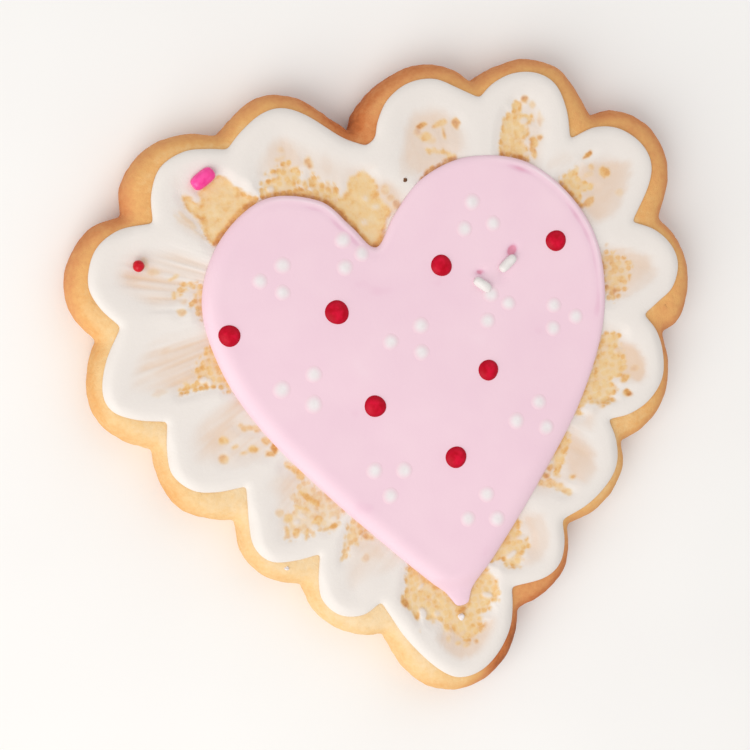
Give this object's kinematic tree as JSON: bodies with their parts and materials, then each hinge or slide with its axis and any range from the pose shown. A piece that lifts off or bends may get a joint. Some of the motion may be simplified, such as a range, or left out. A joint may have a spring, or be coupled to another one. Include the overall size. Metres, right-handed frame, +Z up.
{
  "type": "iced sugar cookie",
  "caption": "Flat scalloped heart of golden baked dough, with white icing brushed inwards from its scallops and a smaller raised pink icing heart with sugar dots on top",
  "frame": {"origin": "middle of the bounding box, on the flat underside", "axes": "+Z up from the underside to the icing; +Y from the point of the heart to the cleft between its lobes; +X across the lobes"},
  "size_m": [0.09, 0.0892, 0.0099],
  "materials": {
    "baked_dough": "golden baked dough, matte and finely crumbed, browner at the rim and underneath",
    "white_icing": "set royal icing, satin, opaque at the bead and thinned to a beige film where it was brushed",
    "pink_icing": "set flood icing, smooth satin pale pink",
    "red_icing": "small icing dots, glossy red",
    "white_dots": "small icing dots, satin white",
    "sugar_sprinkle": "pressed sugar sprinkles, glossy"
  },
  "bodies": {
    "root": {"cookie_base": "baked_dough", "lace_icing": "white_icing", "pink_heart_icing": "pink_icing"}
  },
  "joints": []
}
